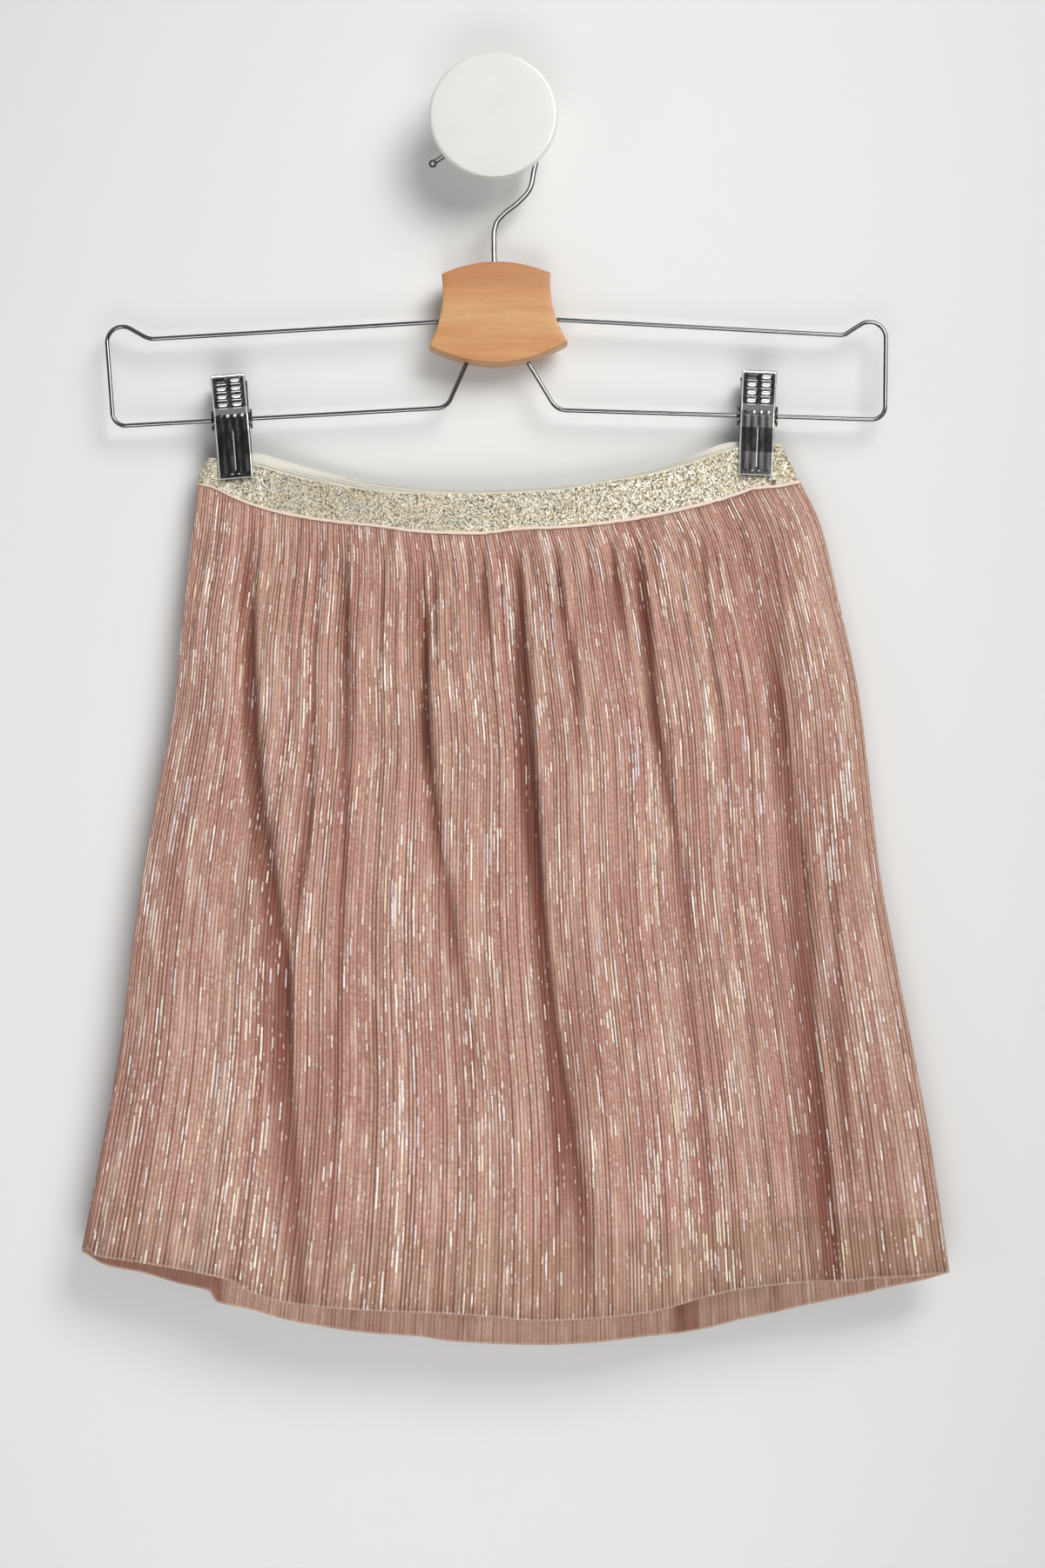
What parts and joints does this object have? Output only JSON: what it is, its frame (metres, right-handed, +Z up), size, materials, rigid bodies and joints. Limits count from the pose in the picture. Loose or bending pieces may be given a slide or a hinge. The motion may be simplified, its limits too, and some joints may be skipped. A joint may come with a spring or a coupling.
{
  "type": "knit skirt on a clip hanger and a wall hook",
  "caption": "Gathered pull-on skirt of finely pleated foil knit over a short lining, with a metallic elastic waistband, clipped to a wire hanger with a wood block on a round wall hook.",
  "frame": {"origin": "centre of the wall plate's back face, where the wall hook meets the wall", "axes": "+X to the right as the skirt is seen from the front, +Y into the wall, +Z up"},
  "size_m": [0.3813, 0.0496, 0.5798],
  "materials": {
    "knit": "fine vertical ribs in dusty rose with pale gold and silver foil dashes",
    "lining": "smooth matt woven lining in rose",
    "elastic": "metallic gold elastic with cream edges",
    "wood": "satin varnish, fine horizontal grain",
    "wire": "bright plated wire",
    "clip_metal": "dark mirror-plated pressed steel",
    "white_gloss": "glossy white"
  },
  "bodies": {
    "root": {"skirt_front": "knit", "skirt_back": "knit", "lining_front": "lining", "lining_back": "lining", "waistband": "elastic", "hanger_block": "wood", "hanger_hook": "wire", "hanger_loop_left": "wire", "hanger_loop_right": "wire", "clip_left_front_plate": "clip_metal", "clip_left_back_plate": "clip_metal", "clip_left_barrel": "clip_metal", "clip_right_front_plate": "clip_metal", "clip_right_back_plate": "clip_metal", "clip_right_barrel": "clip_metal", "hook_disc": "white_gloss", "hook_stem": "white_gloss", "hook_wall_plate": "white_gloss"}
  },
  "joints": []
}
